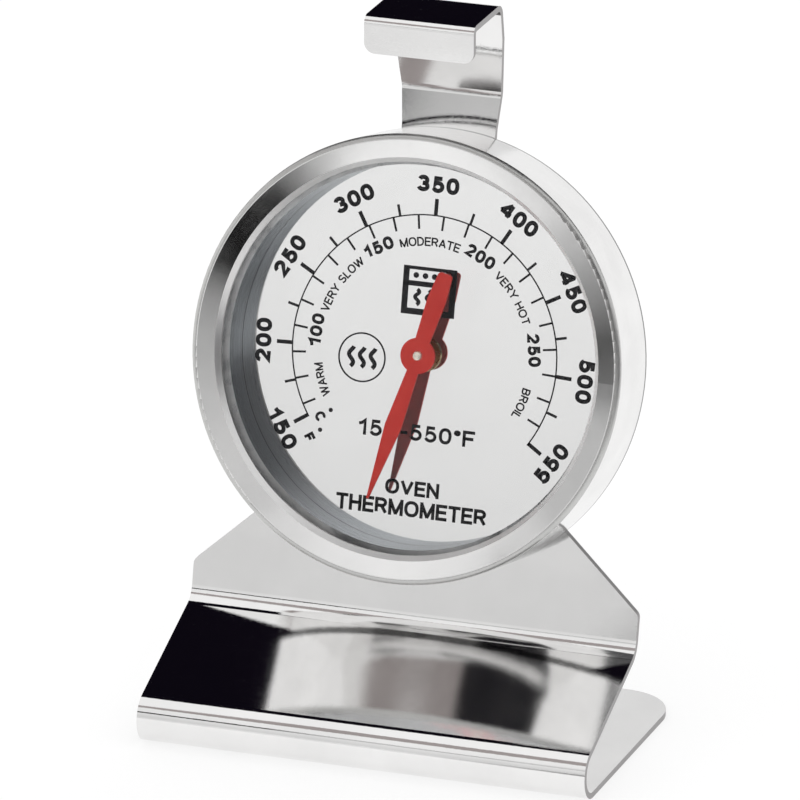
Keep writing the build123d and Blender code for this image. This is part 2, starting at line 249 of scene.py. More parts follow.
def spun_steel(name, base, roughness, anisotropy, painted_shade_rim_mm=0.0):
    """Satin stainless with fine circular lines; the last argument paints that many millimetres of its
    rear rim dark, as painted shade.
    """
    s = Shader(name)
    s.put(Metallic=1.0, Anisotropic=anisotropy)
    s.round_tangent()
    lines = s.noise(s.round_grain(9.0, 9.0), 1.0, 5.0, 0.75)
    wear = s.noise(s.coords(), 0.16, 4.0)
    tone = s.spread(wear, 0.9, 1, 0.35, 0.7)
    # painted shade: the rear rim is painted nearly black over the given width in millimetres
    if painted_shade_rim_mm:
        rear = min(heights_mm("bezel_ring"))
        height = s.radius_and_height()[1]
        rim_shade = s.spread(height, RIM_SHADE_DEPTH, 0.0, rear + painted_shade_rim_mm * 0.55, rear + painted_shade_rim_mm)
        tone = s.add(tone, rim_shade)
    s.tint(tone, shade(base, 0.2), base)
    satin = s.spread(lines, roughness - 0.03, roughness + 0.03)
    s.rough(s.add(satin, s.spread(wear, 0, 0.03, 0.45, 0.7)))
    s.bump(lines, 1)
    return s.material


def turned(name, base, roughness):
    """Small turned or headed metal pieces."""
    s = Shader(name)
    s.put(Metallic=1.0)
    lines = s.noise(s.round_grain(14.0, 14.0), 1.0, 3.0)
    dull = s.noise(s.coords(), 0.9, 4.0)
    s.tint(s.spread(dull, 0, 1, 0.35, 0.65), shade(base, 0.8), base)
    cut = s.spread(lines, roughness - 0.06, roughness + 0.08)
    s.rough(s.add(cut, s.spread(dull, 0, 0.12, 0.4, 0.7)))
    s.bump(lines, 4)
    return s.material


def headed(name, base, roughness):
    """Rivets: hammered heads, slightly dented and dulled."""
    s = Shader(name)
    s.put(Metallic=1.0)
    dents = s.noise(s.coords(), 1.2, 3.0)
    s.tint(s.spread(dents, 0, 1, 0.35, 0.65), shade(base, 0.82), base)
    s.rough(s.spread(dents, roughness, roughness + 0.16, 0.35, 0.7))
    s.bump(dents, 30)
    return s.material


def bimetal_strip(name):
    """Rolled strip: one side brass-coloured, dulled by heat."""
    s = Shader(name)
    s.put(Metallic=1.0)
    tone = s.noise(s.coords(), 0.35, 4.0)
    s.tint(s.spread(tone, 0, 1, 0.35, 0.65), (0.42, 0.36, 0.27), (0.62, 0.56, 0.46))
    s.rough(s.spread(tone, 0.26, 0.42, 0.35, 0.7))
    s.bump(s.noise(s.coords((1, 1, 12)), 2.0, 3.0), 4)
    return s.material


def rubber(name):
    """Grey silicone, with painted shade at the rim where it meets the glass: the shade in the gap
    under the bezel's lip.
    """
    s = Shader(name)
    grit = s.noise(s.coords(), 2.2, 4.0)
    rim = max(heights_mm("lens_gasket"))
    # painted shade: near black within 0.12 mm of the rim, fading out by 0.22 mm
    body = s.spread(s.radius_and_height()[1], 1.0, 0.0, rim - 0.22, rim - 0.12)
    s.tint(s.times(body, s.spread(grit, 0.8, 1.0)), (0.01, 0.01, 0.012), (0.16, 0.175, 0.19))
    s.rough(s.spread(grit, 0.4, 0.6))
    s.bump(grit, 10)
    return s.material


def dial_metal(name):
    """White satin aluminium that still mirrors what stands close to it."""
    s = Shader(name)
    s.put(Metallic=0.96)
    fine = s.noise(s.coords(), 5.0, 4.0)
    cloud = s.noise(s.coords(), 0.10, 3.0)
    s.tint(s.spread(cloud, 0, 1, 0.3, 0.7), (0.93, 0.93, 0.925), (0.95, 0.95, 0.945))
    s.rough(s.add(s.spread(fine, 0.03, 0.05), s.spread(cloud, 0, 0.015, 0.4, 0.7)))
    s.bump(cloud, 0.5)
    return s.material


def well_finish(name):
    """Spun grey metal, with painted shade at its foot, in the corner where the ring meets the dial."""
    s = Shader(name)
    s.put(Metallic=1.0, Anisotropic=0.5)
    s.round_tangent()
    lines = s.noise(s.round_grain(4.0, 6.0), 1.0, 4.0)
    foot = min(heights_mm("spacer_ring"))
    # painted shade: the wall's lowest 0.26 mm fades to near black towards the dial
    joint = s.spread(s.radius_and_height()[1], 0.0, 1.0, foot + 0.08, foot + 0.26)
    wear = s.spread(lines, 0.55, 1.0, 0.3, 0.7)
    s.tint(s.times(wear, joint), (0.02, 0.02, 0.025), (0.42, 0.46, 0.50))
    s.rough(s.spread(lines, 0.22, 0.34))
    s.bump(lines, 6)
    return s.material


def pale_seat(name):
    """Light anodised ledge that the lens sits on."""
    s = Shader(name)
    tone = s.noise(s.coords(), 0.8, 3.0)
    s.tint(s.spread(tone, 0, 1, 0.3, 0.7), (0.78, 0.79, 0.80), (0.90, 0.90, 0.90))
    s.rough(s.spread(tone, 0.35, 0.5))
    s.bump(tone, 4)
    return s.material


def glass(name):
    """Clear lens with faint wipe marks."""
    s = Shader(name)
    s.put(Transmission_Weight=1.0, IOR=1.2, Base_Color=(1, 1, 1, 1))
    wipe = s.noise(s.coords((1, 0.4, 0.4)), 0.12, 4.0)
    s.rough(s.spread(wipe, 0.0, 0.012, 0.45, 0.75))
    return s.material


def ink(name):
    """Black screen-printing ink, nearly matt."""
    s = Shader(name)
    s.put(Specular_IOR_Level=0.15)
    patch = s.noise(s.coords(), 1.6, 3.0)
    s.tint(s.spread(patch, 0, 1, 0.3, 0.7), (0.006, 0.006, 0.008), (0.014, 0.014, 0.017))
    s.rough(s.spread(patch, 0.32, 0.48))
    s.bump(s.noise(s.coords(), 9.0, 2.0), 2)
    return s.material


def red_paint(name, dark, light):
    """Sprayed paint with a little orange peel."""
    s = Shader(name)
    s.put(Specular_IOR_Level=0.3)
    peel = s.noise(s.coords(), 3.0, 3.0)
    tone = s.noise(s.coords(), 0.5, 3.0)
    s.tint(s.spread(tone, 0, 1, 0.3, 0.7), dark, light)
    s.rough(s.spread(peel, 0.34, 0.46))
    s.bump(peel, 6)
    return s.material


BRIGHT_STEEL = (0.88, 0.875, 0.87)
BRUSHED_STEEL = (0.86, 0.855, 0.85)

case_rivet_metal = headed("case_rivet_metal", (0.80, 0.81, 0.82), 0.22)
finish_of = {
    "stand_frame": rolled_steel("stand_steel", BRIGHT_STEEL, 0.02, 0.02),
    "bezel_ring": spun_steel("bezel_steel", BRIGHT_STEEL, 0.08, 0.4),
    "case_back": spun_steel("case_steel", (0.72, 0.72, 0.72), 0.30, 0.3),
    "glass_lens": glass("lens_glass"),
    "lens_gasket": rubber("gasket_rubber"),
    "spacer_ring": well_finish("well_metal"),
    "dial_plate": dial_metal("dial_face"),
    "dial_bushing": turned("bushing_brass", (0.80, 0.62, 0.32), 0.24),
    "rear_bearing": turned("bearing_brass", (0.78, 0.60, 0.31), 0.28),
    "coil_collar": turned("collar_brass", (0.79, 0.61, 0.32), 0.26),
    "thrust_washer": turned("washer_brass", (0.80, 0.62, 0.33), 0.24),
    "pointer_boss": turned("boss_brass", (0.80, 0.62, 0.33), 0.24),
    "spindle": turned("spindle_steel", (0.93, 0.86, 0.76), 0.22),
    "pointer": red_paint("pointer_paint", (0.64, 0.028, 0.020), (0.72, 0.042, 0.030)),
    "bimetal_coil": bimetal_strip("bimetal"),
    "coil_bracket": rolled_steel("bracket_steel", (0.70, 0.70, 0.70), 0.24, 0.10),
    "bracket_rivet": headed("bracket_rivet_metal", (0.76, 0.77, 0.78), 0.26),
    "case_rivet_top": case_rivet_metal,
    "case_rivet_left": case_rivet_metal,
    "case_rivet_right": case_rivet_metal,
}
for name, node in nodes.items():
    node.data.materials.clear()
    node.data.materials.append(finish_of[name])
nodes["glass_lens"].visible_shadow = False     # the lens lets the studio's light onto the dial


def second_finish(name, *choices):
    """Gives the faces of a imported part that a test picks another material.

    Each choice is a material and a test of a face's normal and its middle.
    """
    data = nodes[name].data
    first_slot = len(data.materials)
    for material, _ in choices:
        data.materials.append(material)
    for face in data.polygons:
        for slot, (_, test) in enumerate(choices, first_slot):
            if test(face.normal, face.center):
                face.material_index = slot
                break


# The stand's sheared edges are duller and darker than its rolled faces.
BASE_REAR_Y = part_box("stand_frame")[1].y
HOOK_LIP_Z = 0.09              # the hook and its lip are above this


def sheared(normal, middle):
    side_edge = abs(normal.x) > 0.15
    rear_edge = normal.y > 0.9 and middle.y > BASE_REAR_Y - MM
    lip_edge = normal.z < -0.9 and middle.z > HOOK_LIP_Z
    return side_edge or rear_edge or lip_edge


second_finish("stand_frame", (rolled_steel("sheared_edge", (0.34, 0.33, 0.33), 0.35, 0.10), sheared))

# The bezel's bend, skirt and curled lip are brushed more coarsely than its front band, and the skirt's
# rear rim carries painted shade.
FRONT_HALF_MM = 4.0            # the bend and the lip stand higher than this over the dial face
BAND_OUTER_MM = 31.62          # the front band ends here and the bend begins
SKIRT_INNER_MM = 31.3          # the skirt's faces lie outside this radius
BAND_INNER_MM = 29.4           # the front band ends here and the lip begins
UPRIGHT = 0.03                 # at most so much of a skirt face's normal is along the dial's axis
LIP_SLOPE = 0.93               # and less than so much of a lip face's


def is_bend(normal, middle):
    radius, height = dial_place_mm(middle)
    return radius > BAND_OUTER_MM and height > FRONT_HALF_MM and normal.dot(out) > UPRIGHT


def is_skirt(normal, middle):
    return dial_place_mm(middle)[0] > SKIRT_INNER_MM and abs(normal.dot(out)) <= UPRIGHT


def is_lip(normal, middle):
    radius, height = dial_place_mm(middle)
    return radius < BAND_INNER_MM and height > FRONT_HALF_MM and normal.dot(out) < LIP_SLOPE


second_finish(
    "bezel_ring",
    (spun_steel("bezel_bend", (0.62, 0.62, 0.61), 0.40, 0.2), is_bend),
    # painted shade: the skirt's rear rim is painted dark for 0.5 mm
    (spun_steel("bezel_skirt", BRUSHED_STEEL, 0.13, 0.2, painted_shade_rim_mm=0.5), is_skirt),
    (spun_steel("bezel_lip", BRUSHED_STEEL, 0.34, 0.2), is_lip),
)

# The seat under the lens is pale, and the pointer's underside is painted a darker red as painted
# shade.
SEAT_LOW_MM = 3.0              # the seat stands higher than this over the dial face


def is_seat(normal, middle):
    return normal.dot(out) > 0.9 and dial_place_mm(middle)[1] > SEAT_LOW_MM


def is_underside(normal, middle):
    return normal.dot(out) < -0.3


second_finish("spacer_ring", (pale_seat("lens_seat"), is_seat))
# painted shade: the underside's red is darkened to stand for it being unlit
underside_shade_paint = red_paint("pointer_underside", (0.20, 0.012, 0.012), (0.30, 0.020, 0.018))
second_finish("pointer", (underside_shade_paint, is_underside))

# =====================================================================================
# Printing on the dial, laid out in millimetres: x to the reader's right, y up
# =====================================================================================
INK_LOW_MM = 0.01              # underside of the ink above the dial face
INK_HIGH_MM = 0.03
PRINT_TURN = 0.6               # the whole print sits this much clockwise
LOWEST_F, HIGHEST_F = 150, 550
LABEL_STEP = 50                # between numerals, on either scale
TOP_F = 350                    # the reading at the top of the dial
DEGREES_PER_F = 0.6154

# The scale's circle, and how far out or in its ticks reach.
RING_MM, RING_WIDTH_MM = 20.05, 0.20
LONG_TICK_MM, LONG_TICK_WIDTH_MM = 22.45, 0.56
SHORT_TICK_MM, SHORT_TICK_WIDTH_MM = 21.75, 0.38
CELSIUS_TICK_MM, CELSIUS_TICK_WIDTH_MM = 18.0, 0.31
FAHRENHEIT_CIRCLE_MM = 24.5    # the circles that the middles of the lettering lie on
CELSIUS_CIRCLE_MM = 16.65
ZONE_CIRCLE_MM = 16.2
UPSIDE_DOWN_FROM = 110         # numerals further round than this stand with their feet outwards

# Lettering: cap height, the width of the word, and the width of its strokes.
FAHRENHEIT_TYPE = {"height": 2.4, "width": 6.4, "stroke": 0.62}
CELSIUS_TYPE = {"height": 1.9, "width": 4.75, "stroke": 0.47}
MITRE_LIMIT = 1.9
LETTER_GAP = 0.09              # clear space between letters, in cap heights
SAME_POINT = 1e-6


def sine(degrees):
    return math.sin(math.radians(degrees))


def cosine(degrees):
    return math.cos(math.radians(degrees))


def fahrenheit_of(celsius):
    """The same temperature on the other scale."""
    return celsius * 1.8 + 32


def angle_of(fahrenheit):
    """Where a reading is on the dial, clockwise from the top."""
    return PRINT_TURN + (fahrenheit - TOP_F) * DEGREES_PER_F


def on_circle(angle, radius):
    """The point at that angle clockwise from the top."""
    return radius * sine(angle), radius * cosine(angle)


def bow(x, y, wide, tall, start, end, steps=16):
    """Points on an ellipse; angles are anticlockwise from the right."""
    turns = [start + (end - start) * i / steps for i in range(steps + 1)]
    return [(x + wide * cosine(a), y + tall * sine(a)) for a in turns]


def oval(x, y, wide, tall):
    """A closed round with slightly flattened sides."""
    flattening = 0.86
    points = []
    for cos_a, sin_a in bow(0, 0, 1, 1, 0, 360, 32)[:-1]:
        points.append((
            x + wide * math.copysign(abs(cos_a) ** flattening, cos_a),
            y + tall * math.copysign(abs(sin_a) ** flattening, sin_a),
        ))
    return points + points[:1]


# Plain sans-serif signs: width against the cap height, then the strokes in a unit box.
# The star stands for a degree sign.
GLYPHS = {
    "0": (0.52, oval(0.5, 0.5, 0.5, 0.5)),
    "1": (0.36, [(0.0, 0.74), (0.42, 0.80), (0.84, 1.0), (0.84, 0.0)]),
    "2": (0.52, bow(0.49, 0.71, 0.47, 0.29, 178, -32) + [(0.04, 0.0), (1.0, 0.0)]),
    "3": (
        0.52,
        bow(0.47, 0.75, 0.42, 0.25, 165, -82) + [(0.40, 0.52)],
        [(0.40, 0.52)] + bow(0.47, 0.26, 0.50, 0.26, 86, -165),
    ),
    "4": (0.64, [(0.78, 0.0), (0.78, 1.0)], [(0.72, 1.0), (0.0, 0.24)], [(0.04, 0.24), (1.0, 0.24)]),
    "5": (0.52, [(0.92, 1.0), (0.20, 1.0), (0.08, 0.46)] + bow(0.48, 0.32, 0.50, 0.32, 130, -160)),
    "A": (0.70, [(0.0, 0.0), (0.5, 1.0)], [(0.5, 1.0), (1.0, 0.0)], [(0.2, 0.3), (0.8, 0.3)]),
    "B": (
        0.58,
        [(0.0, 0.53), (0.0, 1.0), (0.5, 1.0)] + bow(0.56, 0.765, 0.38, 0.235, 85, -85, 10)
        + [(0.5, 0.53), (0.0, 0.53)],
        [(0.0, 0.53), (0.0, 0.0), (0.55, 0.0)] + bow(0.58, 0.265, 0.42, 0.265, -85, 85, 10)
        + [(0.55, 0.53)],
    ),
    "C": (0.68, bow(0.52, 0.5, 0.52, 0.5, 42, 318, 24)),
    "D": (
        0.64,
        [(0.0, 0.0), (0.0, 1.0), (0.42, 1.0)] + bow(0.42, 0.5, 0.58, 0.5, 84, -84)
        + [(0.42, 0.0), (0.0, 0.0)],
    ),
    "E": (0.54, [(1.0, 1.0), (0.0, 1.0), (0.0, 0.0), (1.0, 0.0)], [(0.0, 0.52), (0.9, 0.52)]),
    "F": (0.50, [(1.0, 1.0), (0.0, 1.0), (0.0, 0.0)], [(0.0, 0.50), (0.85, 0.50)]),
    "H": (0.62, [(0.0, 0.0), (0.0, 1.0)], [(1.0, 0.0), (1.0, 1.0)], [(0.0, 0.52), (1.0, 0.52)]),
    "I": (0.0, [(0.0, 0.0), (0.0, 1.0)]),
    "L": (0.48, [(0.0, 1.0), (0.0, 0.0), (1.0, 0.0)]),
    "M": (
        0.78,
        [(0.0, 0.0), (0.0, 1.0)],
        [(0.0, 1.0), (0.5, 0.0)],
        [(0.5, 0.0), (1.0, 1.0)],
        [(1.0, 1.0), (1.0, 0.0)],
    ),
    "N": (0.64, [(0.0, 0.0), (0.0, 1.0)], [(0.0, 1.0), (1.0, 0.0)], [(1.0, 0.0), (1.0, 1.0)]),
    "O": (0.76, oval(0.5, 0.5, 0.5, 0.5)),
    "R": (
        0.62,
        [(0.0, 0.0), (0.0, 1.0), (0.5, 1.0)] + bow(0.56, 0.75, 0.40, 0.25, 85, -85, 10)
        + [(0.5, 0.5), (0.0, 0.5)],
        [(0.55, 0.5), (1.0, 0.0)],
    ),
    "S": (0.60, bow(0.50, 0.755, 0.44, 0.245, 25, 255) + bow(0.50, 0.255, 0.50, 0.255, 80, -155)),
    "T": (0.60, [(0.0, 1.0), (1.0, 1.0)], [(0.5, 1.0), (0.5, 0.0)]),
    "V": (0.68, [(0.0, 1.0), (0.5, 0.0)], [(0.5, 0.0), (1.0, 1.0)]),
    "W": (
        1.0,
        [(0.0, 1.0), (0.25, 0.0)],
        [(0.25, 0.0), (0.5, 1.0)],
        [(0.5, 1.0), (0.75, 0.0)],
        [(0.75, 0.0), (1.0, 1.0)],
    ),
    "Y": (0.68, [(0.0, 1.0), (0.5, 0.46), (1.0, 1.0)], [(0.5, 0.46), (0.5, 0.0)]),
    "-": (0.30, [(0.0, 0.42), (1.0, 0.42)]),
    "*": (0.20, oval(0.5, 0.84, 0.5, 0.10)),
    " ": (0.20,),
}


def squared(points, extra):
    """An open row of a few straight strokes, carried on at both ends to square its caps.

    Slanting ends are carried on less, so that they do not stand out over the cap height.
    """
    first, last = Vector(points[0]), Vector(points[-1])
    if len(points) > 6 or (first - last).length < SAME_POINT:
        return points
    runs = [(first - Vector(points[1])).normalized(), (last - Vector(points[-2])).normalized()]
    share = [1.0 if max(abs(run.x), abs(run.y)) > 0.97 else 0.3 for run in runs]
    return [first + runs[0] * extra * share[0]] + points[1:-1] + [last + runs[1] * extra * share[1]]


class Print:
    """Flat ink shapes gathered into one closed, thin mesh."""

    def __init__(self):
        self.mesh = bmesh.new()

    def face(self, *corners):
        """A face between vertices that run anticlockwise, seen from outside."""
        self.mesh.faces.new(corners)

    def row(self, points, height):
        """Vertices over the dial at those points."""
        return [self.mesh.verts.new((x, y, height)) for x, y in points]

    def strip(self, left, right_side, closed=False):
        """Ink between two rows of points."""
        left_low, left_high = self.row(left, INK_LOW_MM), self.row(left, INK_HIGH_MM)
        right_low, right_high = self.row(right_side, INK_LOW_MM), self.row(right_side, INK_HIGH_MM)
        count = len(left)
        for i in range(count if closed else count - 1):
            j = (i + 1) % count
            self.face(left_high[i], right_high[i], right_high[j], left_high[j])
            self.face(left_low[j], right_low[j], right_low[i], left_low[i])
            self.face(left_low[i], left_high[i], left_high[j], left_low[j])
            self.face(right_low[j], right_high[j], right_high[i], right_low[i])
        if not closed:
            self.face(left_low[0], right_low[0], right_high[0], left_high[0])
            self.face(left_high[-1], right_high[-1], right_low[-1], left_low[-1])

    def line(self, points, width):
        """An inked line of even width along a row of points, mitred where it turns.

        A row that ends where it starts is closed.
        """
        points = [Vector(p) for p in points]
        closed = (points[0] - points[-1]).length < SAME_POINT
        if closed:
            points.pop()
        left, right_side = [], []
        count = len(points)
        for i, point in enumerate(points):
            before = points[i - 1] if i or closed else None
            after = points[(i + 1) % count] if i + 1 < count or closed else None
            runs = [(b - a).normalized() for a, b in ((before, point), (point, after)) if a and b]
            along = sum(runs, Vector((0, 0))).normalized()
            mitre = Vector((-along.y, along.x))
            side = Vector((-runs[0].y, runs[0].x))
            mitre *= width / 2 / max(mitre.dot(side), 1 / MITRE_LIMIT)
            left.append(point + mitre)
            right_side.append(point - mitre)
        self.strip(left, right_side, closed)

    def arc(self, centre, radius, width, start, end, steps):
        """A ring or part of one; angles are clockwise from the top."""
        whole = abs(end - start) >= 360
        turns = [start + (end - start) * i / steps for i in range(steps if whole else steps + 1)]
        edges = []
        for r in (radius + width / 2, radius - width / 2):
            edges.append([(centre[0] + r * sine(a), centre[1] + r * cosine(a)) for a in turns])
        self.strip(*edges, closed=whole)

    def disc(self, centre, radius, steps=24):
        """A round dot."""
        turns = [360 * i / steps for i in range(steps)]
        rim = [(centre[0] + radius * sine(a), centre[1] + radius * cosine(a)) for a in turns]
        low, high = self.row(rim, INK_LOW_MM), self.row(rim, INK_HIGH_MM)
        self.face(*reversed(high))
        self.face(*low)
        for i in range(steps):
            j = (i + 1) % steps
            self.face(low[i], high[i], high[j], low[j])

    def radial(self, angle, inner, outer, width):
        """A tick along a radius."""
        self.line([on_circle(angle, inner), on_circle(angle, outer)], width)

    def waves(self, places, foot, swing, pitch, step, steps, width):
        """Upright heat waves at those x, from foot up; a wave turns by pitch degrees per mm."""
        for x in places:
            rises = [i * step for i in range(steps)]
            self.line([(x + swing * sine(rise * pitch), foot + rise) for rise in rises], width)

    def text(self, words, height, width, place, stroke, turn_deg=0.0, bend=None):
        """Lettering of that cap height and width, centred on place and turned clockwise.

        With bend, a radius, the letters follow a circle round the dial's centre instead, and
        place is the angle of their middle.
        """
        spans = [GLYPHS[letter][0] for letter in words]
        gap = LETTER_GAP + stroke / height
        natural = sum(spans) + gap * (len(words) - 1)
        squeeze = (width - stroke) / natural
        cursor = -natural / 2
        for letter, span in zip(words, spans):
            for path in GLYPHS[letter][1:]:
                points = []
                for x, y in path:
                    x = (cursor + x * span) * squeeze
                    y = (y - 0.5) * (height - stroke)
                    if bend is None:
                        points.append((
                            place[0] + x * cosine(turn_deg) + y * sine(turn_deg),
                            place[1] + y * cosine(turn_deg) - x * sine(turn_deg),
                        ))
                    else:
                        points.append(on_circle(place + math.degrees(x / bend), bend + y))
                self.line(squared(points, stroke / 2), stroke)
            cursor += span + gap

    def piece(self, name):
        """Puts the ink on the dial as a piece of that name."""
        bmesh.ops.remove_doubles(self.mesh, verts=self.mesh.verts, dist=0.0005)
        bmesh.ops.recalc_face_normals(self.mesh, faces=self.mesh.faces)
        data = bpy.data.meshes.new(name)
        self.mesh.to_mesh(data)
        self.mesh.free()
        data.transform(dial_matrix @ Matrix.Scale(MM, 4))
        data.materials.append(black_ink)
        made = bpy.data.objects.new(name, data)
        bpy.context.scene.collection.objects.link(made)
        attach(made, "root")


black_ink = ink("dial_ink")

# The circle and its ticks: Fahrenheit outside, Celsius inside.
scale = Print()
scale.arc((0, 0), RING_MM, RING_WIDTH_MM, angle_of(LOWEST_F), angle_of(HIGHEST_F), 160)
for reading in range(LOWEST_F, HIGHEST_F + 1, LABEL_STEP):
    scale.radial(angle_of(reading), RING_MM - RING_WIDTH_MM / 2, LONG_TICK_MM, LONG_TICK_WIDTH_MM)
for reading in range(LOWEST_F + LABEL_STEP // 2, HIGHEST_F, LABEL_STEP):
    scale.radial(angle_of(reading), RING_MM - RING_WIDTH_MM / 4, SHORT_TICK_MM, SHORT_TICK_WIDTH_MM)
for celsius in range(70, 281, 10):
    angle = angle_of(fahrenheit_of(celsius))
    scale.radial(angle, CELSIUS_TICK_MM, RING_MM + RING_WIDTH_MM / 4, CELSIUS_TICK_WIDTH_MM)
scale.piece("print_scale")

fahrenheit_numerals = Print()
for reading in range(LOWEST_F, HIGHEST_F + 1, LABEL_STEP):
    angle = angle_of(reading)
    flip = 180 if abs(angle) > UPSIDE_DOWN_FROM else 0
    place = on_circle(angle, FAHRENHEIT_CIRCLE_MM)
    fahrenheit_numerals.text(str(reading), place=place, turn_deg=angle + flip, **FAHRENHEIT_TYPE)
fahrenheit_numerals.piece("print_fahrenheit")

celsius_numerals = Print()
for celsius in range(100, 251, LABEL_STEP):
    angle = angle_of(fahrenheit_of(celsius))
    place = on_circle(angle, CELSIUS_CIRCLE_MM)
    celsius_numerals.text(str(celsius), place=place, turn_deg=angle, **CELSIUS_TYPE)
celsius_numerals.piece("print_celsius")

zones = Print()
for word, angle, width in (
    ("WARM", -109.6, 4.9),
    ("VERY SLOW", -56.7, 9.7),
    ("MODERATE", -1.2, 9.2),
    ("VERY HOT", 53.4, 8.6),
    ("BROIL", 110.0, 4.7),
):
    zones.text(word, height=1.3, width=width, place=angle, stroke=0.23, bend=ZONE_CIRCLE_MM)
zones.piece("print_zones")

# C and F, each with its degree dot, by the low end of the scale.
UNITS_TURN = 58
units = Print()
units.text("C", height=1.6, width=1.4, place=(-15.0, -10.8), stroke=0.4, turn_deg=UNITS_TURN)
units.text("F", height=1.6, width=1.25, place=(-16.4, -14.05), stroke=0.42, turn_deg=UNITS_TURN)
for dot in ((-13.5, -9.7), (-14.9, -12.75)):
    units.disc(dot, 0.32)
units.piece("print_units")

title = Print()
title.text("OVEN", height=2.2, width=8.2, place=(-0.3, -19.6), stroke=0.46)
title.text("THERMOMETER", height=2.35, width=22.9, place=(-0.25, -22.6), stroke=0.48)
title.text("150-550*F", height=2.35, width=17.8, place=(-0.3, -11.5), stroke=0.46)
title.piece("print_title")

# A small oven with heat waves behind its window, over the pivot.
OVEN_LEFT, OVEN_RIGHT = -4.0, 4.1
OVEN_WALL = 0.9
oven = Print()
for y, width in ((5.95, 0.9), (10.0, 0.75), (12.25, 0.5)):
    oven.line([(OVEN_LEFT, y), (OVEN_RIGHT, y)], width)
for x in (OVEN_LEFT + OVEN_WALL / 2, OVEN_RIGHT - OVEN_WALL / 2):
    oven.line([(x, 6.4), (x, 12.0)], OVEN_WALL)
for x in (-2.05, -0.65, 0.75, 2.15):
    oven.disc((x, 11.2), 0.42)
oven.waves((-1.7, 0.05, 1.8), foot=6.95, swing=0.3, pitch=240, step=0.125, steps=19, width=0.55)
oven.piece("print_oven_mark")

# A ring round three heat waves.
HEAT_X, HEAT_Y = -9.35, -1.55
WAVE_APART = 1.65
heat = Print()
heat.arc((HEAT_X, HEAT_Y), 3.5, 0.24, 0, 360, 72)
heat.waves(
    (HEAT_X - WAVE_APART, HEAT_X, HEAT_X + WAVE_APART),
    foot=-3.0, swing=0.35, pitch=150, step=0.145, steps=21, width=0.62,
)
heat.piece("print_heat_mark")


# =====================================================================================
# Studio: pale floor, soft light, and cards that only show as reflections
# =====================================================================================
def plain(name, colour, glow_colour=(0, 0, 0), glow=0.0):
    """Matt paint, which may shine by itself."""
    material = bpy.data.materials.new(name)
    material.use_nodes = True
    surface = material.node_tree.nodes["Principled BSDF"]
    surface.inputs["Base Color"].default_value = (*colour, 1)
    surface.inputs["Roughness"].default_value = 0.9
    surface.inputs["Specular IOR Level"].default_value = 0.0
    surface.inputs["Emission Color"].default_value = (*glow_colour, 1)
    surface.inputs["Emission Strength"].default_value = glow
    return material


def graded(name, stops, along):
    """Card paint from pairs of a place and a shade of grey.

    The places run along the card's local "X" or "Y" in metres, or with along "ROUND" they are
    degrees clockwise from its top.
    """
    material = plain(name, (0, 0, 0))
    tree = material.node_tree
    split = tree.nodes.new("ShaderNodeSeparateXYZ")
    tree.links.new(tree.nodes.new("ShaderNodeTexCoord").outputs["Object"], split.inputs[0])
    first, last = stops[0][0], stops[-1][0]
    if along == "ROUND":
        angle = tree.nodes.new("ShaderNodeMath")
        angle.operation = "ARCTAN2"
        for socket, axis in zip(angle.inputs, ("X", "Y")):
            tree.links.new(split.outputs[axis], socket)
        source, low_end, high_end = angle.outputs[0], math.radians(first), math.radians(last)
    else:
        source, low_end, high_end = split.outputs[along], first, last
    share = tree.nodes.new("ShaderNodeMapRange")
    share.inputs["From Min"].default_value = low_end
    share.inputs["From Max"].default_value = high_end
    tree.links.new(source, share.inputs["Value"])
    ramp = tree.nodes.new("ShaderNodeValToRGB")
    tree.links.new(share.outputs[0], ramp.inputs["Fac"])
    elements = ramp.color_ramp.elements
    while len(elements) > 1:
        elements.remove(elements[-1])
    for i, (place, grey) in enumerate(stops):
        position = (place - first) / (last - first)
        element = elements.new(position) if i else elements[0]
        element.position = position
        element.color = (grey, grey, grey, 1)
    tree.links.new(ramp.outputs["Color"], tree.nodes["Principled BSDF"].inputs["Base Color"])
    return material


def staged(name, points, faces, material):
    """A piece of the studio."""
    data = bpy.data.meshes.new(name)
    data.from_pydata([Vector(p) for p in points], [], faces)
    data.materials.append(material)
    made = bpy.data.objects.new(name, data)
    bpy.context.scene.collection.objects.link(made)
    return made


def card(name, points, faces, material):
    """A staged card that only shows as a reflection."""
    made = staged(name, points, faces, material)
    made.visible_camera = False
    made.visible_shadow = False
    made.visible_diffuse = False
    return made


# ---- floor and light ----
FLOOR_REACH = 3.0
floor_z = cad_box[0].z
staged(
    "floor",
    [(x * FLOOR_REACH, y * FLOOR_REACH, floor_z) for x, y in ((-1, -1), (1, -1), (1, 1), (-1, 1))],
    [(0, 1, 2, 3)],
    plain("floor_pale", (0.30, 0.30, 0.30), glow_colour=(0.93, 0.93, 0.93), glow=0.78),
)

world = bpy.data.worlds.new("studio")
world.use_nodes = True
world.node_tree.nodes["Background"].inputs["Color"].default_value = (1, 1, 1, 1)
world.node_tree.nodes["Background"].inputs["Strength"].default_value = 1.0
bpy.context.scene.world = world

black = plain("card_black", (0.004, 0.003, 0.006))

# ---- behind the object: black, which the hook's flat top mirrors, over a pale strip ----
BACK_Y = 0.25
BACK_LEFT, BACK_RIGHT = -0.6, 0.3
BACK_FOOT, BACK_TOP = 0.14, 0.7
ABOVE_Y = 0.06                 # the black comes forward to here overhead
LOW_RIGHT, LOW_FOOT, LOW_TOP = -0.03, 0.04, 0.139


def back_card(name, start, end, material):
    """A rectangle from its lower left corner to its upper right one, each an (x, y, z)."""
    near, far = (start[1], start[2]), (end[1], end[2])
    corners = [(start[0], *near), (end[0], *near), (end[0], *far), (start[0], *far)]
    card(name, corners, [(0, 1, 2, 3)], material)


